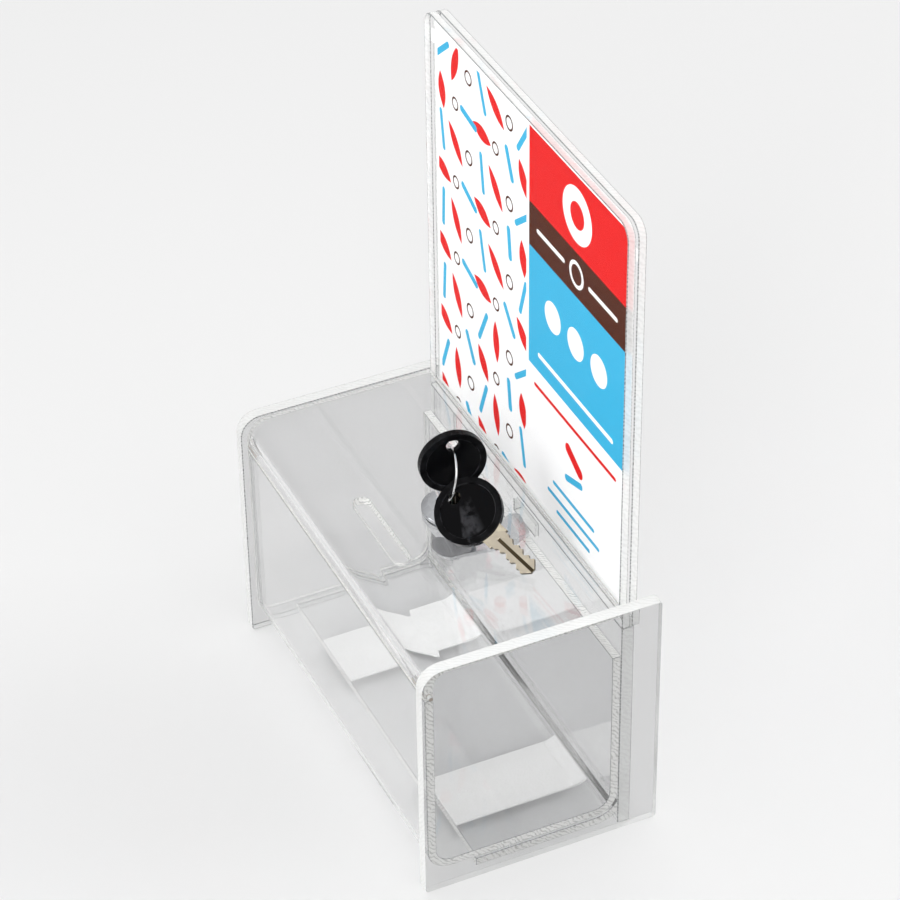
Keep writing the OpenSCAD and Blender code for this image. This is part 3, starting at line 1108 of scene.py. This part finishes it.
@dataclass
class FootShelf(BentSheet):
    """The sheet under the floor, which turns up at the back."""

    node: str = "foot_shelf"
    foam: float = 1 * MM
    sweep: float = 75.0
    gap: float = 0.06 * MM

    def build(self, *finishes: Material) -> None:
        """Makes the shelf in the place of its CAD node.

        Args:
            finishes: The materials of its faces, its cut edges and the bevels between them.
        """
        low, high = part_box(self.node)
        arc = self.bend_radius + self.foam + self.wall / 2
        bend_y = high.y - self.bend_radius
        level = low.z + self.wall / 2
        sheet = self.start(high.x - self.gap, low.y, level)
        self.run(bend_y - low.y, 0)
        self.bend(bend_y, level + arc, self.sweep)
        self.thicken(sheet, finishes)
        butt = high.y - self.gap
        edit(sheet, Picked.FACES)
        bpy.ops.object.mode_set(mode="EDIT")
        bpy.ops.mesh.select_all(action="SELECT")
        bpy.ops.mesh.bisect(plane_co=(0, butt, 0), plane_no=(0, 1, 0), use_fill=True, clear_outer=True)
        bpy.ops.object.mode_set(mode="OBJECT")
        assign(sheet, Skin.EDGE.value, lambda poly: poly.center.y > butt - CLOSE)
        self.finish(sheet)


@dataclass
class Lid(BentSheet):
    """The bent lid with its front lip, money slot and lock hole."""

    node: str = "lid"
    slot_length: float = 40 * MM
    slot_width: float = 6.4 * MM
    slot_back: float = 18.4 * MM
    lock_hole: float = 15.7 * MM
    cut_depth: float = 12 * MM
    pin_play: float = 0.06 * MM
    rear_edge: float = 2 * MM
    slot_round: float = 0.99
    slot_steps: int = 12
    lip_round: float = 0.96
    lip_steps: int = 6

    def _slot_cutter(self, x: float, y: float, z: float) -> Piece:
        """Makes the round-ended block that cuts the money slot.

        Args:
            x: The slot's middle along X.
            y: The slot's middle along Y.
            z: The middle of the sheet.

        Returns:
            The cutter.
        """
        half = Vector((self.slot_length, self.slot_width, self.cut_depth)) / 2
        middle = Vector((x, y, z))
        cutter = add_block("slot_cutter", middle - half, middle + half)
        for side in (-1, 1):
            for end in (-1, 1):
                at = (x + side * half.x, y + end * half.y)
                round_corner(cutter, Axis.Z, at, half.y * self.slot_round, self.slot_steps)
        return cutter

    def _is_cut_wall(self, poly: bpy.types.MeshPolygon, lock_x: float, front: float, back: float) -> bool:
        """Says whether a face is a wall of the money slot or of the lock's hole.

        Args:
            poly: The face.
            lock_x: The lock's place along X.
            front: The lid's front along Y.
            back: The lid's rear edge along Y.

        Returns:
            The answer.
        """
        near_lock = abs(poly.center.x - lock_x) < self.slot_length / 2 + CLOSE
        on_top = front + self.bend_radius < poly.center.y < back - self.rear_edge
        return near_lock and on_top and abs(poly.normal.z) < ALONG

    def build(self, *finishes: Material) -> None:
        """Makes the lid in the place of its CAD node.

        Args:
            finishes: The materials of its faces, its cut edges and the bevels between them.
        """
        low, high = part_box(self.node)
        lock_low, lock_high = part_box("lock_housing")
        lock = (lock_low + lock_high) / 2
        middle = self.wall / 2
        arc = self.bend_radius - middle
        front, top = low.y + middle, high.z - middle
        sheet = self.start(high.x, front, low.z)
        self.run(0, top - arc - low.z)
        self.bend(front + arc, top - arc, -90)
        self.run(high.y - front - arc, 0)
        self.thicken(sheet, finishes)
        round_edges(
            sheet, lambda co: abs(co.z - low.z) < CLOSE and abs(abs(co.y - front) - middle) < CLOSE,
            middle * self.lip_round, self.lip_steps)
        cut(sheet, self._slot_cutter(lock.x, low.y + self.slot_back, top))
        lock_at = Vector((lock.x, lock.y, top))
        cut(sheet, add_drill(lock_at, self.lock_hole / 2, self.cut_depth, (0.0, 0.0, 0.0), HOLE_SIDES))
        for side in SIDES:
            bore(sheet, f"hinge_pin_{side}", self.pin_play)
        assign(sheet, Skin.EDGE.value, lambda poly: self._is_cut_wall(poly, lock.x, low.y, high.y))
        self.finish(sheet)


@dataclass
class Box:
    """The cemented box with its lid: end panels, header, back panel, foam tape and the three bent sheets."""

    panel_corner: float = 8 * MM
    panel_ease: float = 1.2 * MM
    header_corner: float = 6 * MM
    bond_gap: float = 0.04 * MM
    spacer_ease: float = 0.08 * MM
    foam_ease: float = 0.12 * MM
    keeper_length: float = 17 * MM
    keeper_height: float = 5 * MM
    keeper_z: float = 83.04 * MM

    def _keeper_slot(self) -> tuple[Vector, Vector]:
        """Gives the corners of the slot in the back panel that the cam points at.

        Returns:
            The slot's lowest and highest corner.
        """
        back_low, back_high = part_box("back_panel")
        lock_low, lock_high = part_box("lock_housing")
        middle = (lock_low.x + lock_high.x) / 2
        half, rise = self.keeper_length / 2, self.keeper_height / 2
        return (Vector((middle - half, back_low.y - MM, self.keeper_z - rise)),
                Vector((middle + half, back_high.y + MM, self.keeper_z + rise)))

    def build(self, effects: Effects) -> None:
        """Makes every piece of the box and its lid.

        Args:
            effects: The shared effects.
        """
        face = ClearAcrylic().build(effects)
        header_face = ClearAcrylic(
            "header_acrylic_face", tint=(0.98, 0.98, 0.982), shade=(0.995, 0.995, 0.995),
            index=1.03).build(effects)
        # The end panels take a darker tint than the same acrylic elsewhere: painted shade that greys what is
        # seen through them.
        shaded_end_face = ClearAcrylic("end_panel_face_painted_shade", tint=(0.74, 0.74, 0.743)).build(effects)
        edge = SawnAcrylic(
            "panel_edge", (0.95, 0.955, 0.945), clearness=0.36, pitch=1.2 * MM, rough=0.14, marks=0.06,
            dip=0.9).build(effects)
        # The bevels' dark grey is painted shade: it stands for the dark lines that refraction shows along the
        # sheets' edges.
        arris = SawnAcrylic(
            "sheet_arris_painted_shade", (0.36, 0.37, 0.37), clearness=0.25, pitch=0.7 * MM, rough=0.2, marks=0.1,
            dip=0.6).build(effects)
        sawn = SawnAcrylic(
            "sheet_end", (1.0, 1.0, 0.98), clearness=0.2, pitch=1.0 * MM, rough=0.35, marks=0.15,
            dip=0.78).build(effects)
        foam = Foam().build(effects)
        corners = {(-1, -1): self.panel_ease, (1, -1): self.panel_ease,
                   (-1, 1): self.panel_corner, (1, 1): self.panel_ease}
        for side in SIDES:
            panel = FlatPanel(f"{side}_end_panel", Axis.X, corners, pin=f"hinge_pin_{side}")
            panel.build(shaded_end_face, edge, arris)
        gap = self.bond_gap
        butted = Vector((gap, gap, 0.0))
        FlatPanel("back_panel", Axis.Y, inset=butted, slot=self._keeper_slot()).build(face, edge, arris)
        top_corners = {(-1, 1): self.header_corner, (1, 1): self.header_corner}
        for name in ("header_front_sheet", "header_rear_sheet"):
            header = FlatPanel(name, Axis.Y, top_corners, inset=Vector((gap, gap, gap)))
            header.build(header_face, edge, arris)
        FlatPanel("pocket_spacer", Axis.Y, inset=butted, eased=self.spacer_ease).build(face, edge, arris)
        for sheet in (Shell(), FootShelf(), Lid()):
            sheet.build(face, sawn, arris)
        for name in ("foam_strip_left", "foam_strip_right", "pocket_pads"):
            piece = softened_copy(name, self.foam_ease)
            dress(piece, foam)
            stand_for(piece, name)


# ---------------------------------------------------------------- sign, lock and keys


@dataclass
class Sign:
    """The printed card in the header's pocket."""

    node: str = "sign_card"
    eased: float = 0.05 * MM

    def build(self, effects: Effects) -> None:
        """Makes the card with eased edges and its print.

        Args:
            effects: The shared effects.
        """
        low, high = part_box(self.node)
        card = softened_copy(self.node, self.eased)
        dress(card, PrintedCard().build(effects, low, (high.z - low.z) / MM))
        stand_for(card, self.node)


@dataclass
class Lock:
    """The cam lock and the hinge pins: CAD shapes with broken edges and plated finishes."""

    eased: float = 0.14 * MM
    wafer_ease: float = 0.035 * MM
    barrel_drop: float = 0.1 * MM

    def build(self, effects: Effects) -> None:
        """Makes every metal piece but the keys and their ring.

        Args:
            effects: The shared effects.
        """
        chrome = Metal("chrome_plate", (0.5, 0.51, 0.53), (0.8, 0.8, 0.8), 0.06).build(effects)
        # The darker copy of the chrome, on the housing below the lid's top, is painted shade for the barrel
        # under the lid.
        shaded_barrel = Metal("dark_barrel_painted_shade", (0.3, 0.3, 0.31), (0.6, 0.6, 0.6), 0.16).build(effects)
        zinc = Metal("zinc_plate", (0.7, 0.71, 0.72), (0.85, 0.85, 0.86), 0.2).build(effects)
        brass = Metal("brass_wafer", (0.72, 0.52, 0.24), (0.85, 0.7, 0.4), 0.28).build(effects)
        steel = Metal("hinge_pin_steel", (0.5, 0.42, 0.35), (0.6, 0.55, 0.5), 0.35).build(effects)
        finishes = (
            (chrome, "chrome_lock", ("lock_housing", "lock_plug")),
            (zinc, "zinc_plate", ("lock_washer", "lock_nut", "cam", "cam_washer", "cam_screw")),
            (brass, "brass_wafer", ("lock_wafers",)),
            (steel, "steel_pin", ("hinge_pin_left", "hinge_pin_right")))
        lid_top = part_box("lid")[1].z
        for finish, slot, nodes in finishes:
            for node in nodes:
                piece = softened_copy(node, self.wafer_ease if node == "lock_wafers" else self.eased)
                dress(piece, finish, shaded_barrel)
                if node == "lock_housing":
                    assign(piece, 1, lambda poly: poly.center.z < lid_top - self.barrel_drop)
                stand_for(piece, node)


@dataclass
class Keys:
    """The two keys and the wire ring that joins them."""

    groove_floor: float = 0.12 * MM
    bow_ease: float = 0.35 * MM
    blade_ease: float = 0.1 * MM
    ring_ease: float = 0.01 * MM
    edge_on: float = 0.4

    def _mark_cuts(self, blade: Piece) -> None:
        """Gives a blade's cut edges the second material and its groove the third: darker metals that are
        painted shade on the blade's sides and in its groove.

        Args:
            blade: The key blade, whose largest face lies along its side.
        """
        side = max(blade.data.polygons, key=lambda poly: poly.area).normal.copy()
        places = [side.dot(vertex.co) for vertex in blade.data.vertices]
        outer, inner = max(places), min(places)
        for poly in blade.data.polygons:
            place = side.dot(poly.center)
            if abs(poly.normal.dot(side)) < self.edge_on:
                poly.material_index = 1
            elif min(outer - place, place - inner) > self.groove_floor:
                poly.material_index = 2

    def build(self, effects: Effects) -> None:
        """Makes the bows, the blades and the ring.

        Args:
            effects: The shared effects.
        """
        plastic = MouldedPlastic().build(effects)
        nickel = Metal("key_nickel", (0.56, 0.5, 0.4), (0.8, 0.72, 0.55), 0.13, wear=1.0).build(effects)
        # The darker metals on the blade's cut edges and in its groove are painted shade.
        cut_edge_shade = Metal("key_cut_edges_painted_shade", (0.12, 0.09, 0.05), (0.3, 0.22, 0.12), 0.3).build(effects)
        groove = Metal("key_groove_painted_shade", (0.05, 0.038, 0.022), (0.14, 0.1, 0.05), 0.4).build(effects)
        wire = Metal("ring_wire", (0.72, 0.72, 0.72), (0.8, 0.8, 0.8), 0.18).build(effects)
        for prefix in ("", "spare_"):
            bow = softened_copy(f"{prefix}key_bow", self.bow_ease)
            dress(bow, plastic)
            stand_for(bow, f"{prefix}key_bow")
            blade = softened_copy(f"{prefix}key_blade", self.blade_ease)
            dress(blade, nickel, cut_edge_shade, groove)
            self._mark_cuts(blade)
            stand_for(blade, f"{prefix}key_blade")
        ring = softened_copy("key_ring", self.ring_ease)
        dress(ring, wire)
        stand_for(ring, "key_ring")


# ---------------------------------------------------------------- studio


@dataclass(frozen=True)
class Lamp:
    """A soft square lamp that looks at the box."""

    name: str
    place: Triple
    size: float
    power: float


@dataclass
class Studio:
    """A pale floor, soft lights and the camera."""

    azimuth: float = 65.63
    elevation: float = 38.13
    roll: float = -0.98
    distance: float = 1.2118
    aim: Vector = field(default_factory=lambda: Vector((0.0, 0.0, 0.1)))
    lens: float = 138.1
    sensor: float = 36.0
    shift: tuple[float, float] = (0.0098, 0.0584)
    clip: tuple[float, float] = (0.05, 60.0)
    floor_size: float = 14.0
    floor_drop: float = 0.2 * MM
    floor_colour: Triple = (0.79, 0.79, 0.79)
    room_span: tuple[float, float] = (-0.1, 0.9)
    room_glow: tuple[float, float] = (0.46, 0.98)
    lamps: tuple[Lamp, ...] = (
        Lamp("key_softbox", (1.5, -1.1, 1.4), 1.3, 17.0),
        Lamp("front_softbox", (-0.5, -1.7, 1.0), 0.8, 4.5),
        Lamp("rear_strip", (0.2, 1.4, 1.3), 0.8, 6.0))
    bounces: int = 24

    def camera(self) -> None:
        """Places the camera on its orbit round the box."""
        data = bpy.data.cameras.new("studio_camera")
        data.lens = self.lens
        data.sensor_width = self.sensor
        data.shift_x, data.shift_y = self.shift
        data.clip_start, data.clip_end = self.clip
        camera = bpy.data.objects.new("studio_camera", data)
        bpy.context.scene.collection.objects.link(camera)
        around, up = math.radians(self.azimuth), math.radians(self.elevation)
        outward = Vector((math.cos(up) * math.sin(around), -math.cos(up) * math.cos(around), math.sin(up)))
        camera.location = self.aim + outward * self.distance
        turn = outward.to_track_quat("Z", "Y").to_matrix()
        roll = Euler((0.0, 0.0, math.radians(self.roll))).to_matrix()
        camera.rotation_euler = (turn @ roll).to_euler()
        bpy.context.scene.camera = camera

    def floor(self) -> None:
        """Lays the pale floor just under the box."""
        deselect_all()
        bpy.ops.mesh.primitive_plane_add(size=self.floor_size, location=(0, 0, -self.floor_drop))
        floor = bpy.context.object
        floor.name = "studio_floor"
        material = bpy.data.materials.new("pale_floor")
        material.use_nodes = True
        tree = Tree(material.node_tree)
        shader = tree.node("BsdfPrincipled", {"Base Color": opaque(self.floor_colour), "Roughness": 0.6})
        tree.node("OutputMaterial", {0: shader.outputs[0]})
        dress(floor, material)

    def light(self, lamp: Lamp) -> None:
        """Hangs a lamp.

        Args:
            lamp: The lamp.
        """
        data = bpy.data.lights.new(lamp.name, "AREA")
        data.size = lamp.size
        data.energy = lamp.power
        hung = bpy.data.objects.new(lamp.name, data)
        bpy.context.scene.collection.objects.link(hung)
        hung.location = lamp.place
        hung.rotation_euler = (Vector(lamp.place) - self.aim).to_track_quat("Z", "Y").to_euler()

    def world(self) -> None:
        """Fills the room with even white light that is brighter above."""
        world = bpy.data.worlds.new("studio_room")
        bpy.context.scene.world = world
        world.use_nodes = True
        tree = Tree(world.node_tree)
        upward = tree.node("SeparateXYZ", {0: tree.node("TexCoord").outputs["Generated"]}).outputs[2]
        glow = tree.spread(upward, *self.room_span, *self.room_glow)
        light = tree.node("Background", {0: (1.0, 1.0, 1.0, 1.0), 1: glow})
        tree.node("OutputWorld", {0: light.outputs[0]})

    def build(self) -> None:
        """Sets up the studio."""
        self.camera()
        self.floor()
        self.world()
        for lamp in self.lamps:
            self.light(lamp)
        bpy.context.scene.view_settings.view_transform = "Standard"
        cycles = bpy.context.scene.cycles
        cycles.max_bounces = self.bounces
        cycles.glossy_bounces = self.bounces
        cycles.transmission_bounces = self.bounces
        cycles.transparent_max_bounces = self.bounces


def main() -> None:
    """Builds the studio and every piece."""
    logging.basicConfig(level=logging.INFO, format="%(message)s")
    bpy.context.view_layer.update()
    Studio().build()
    effects = Effects()
    Box().build(effects)
    Sign().build(effects)
    Lock().build(effects)
    Keys().build(effects)


if __name__ == "__main__":
    main()
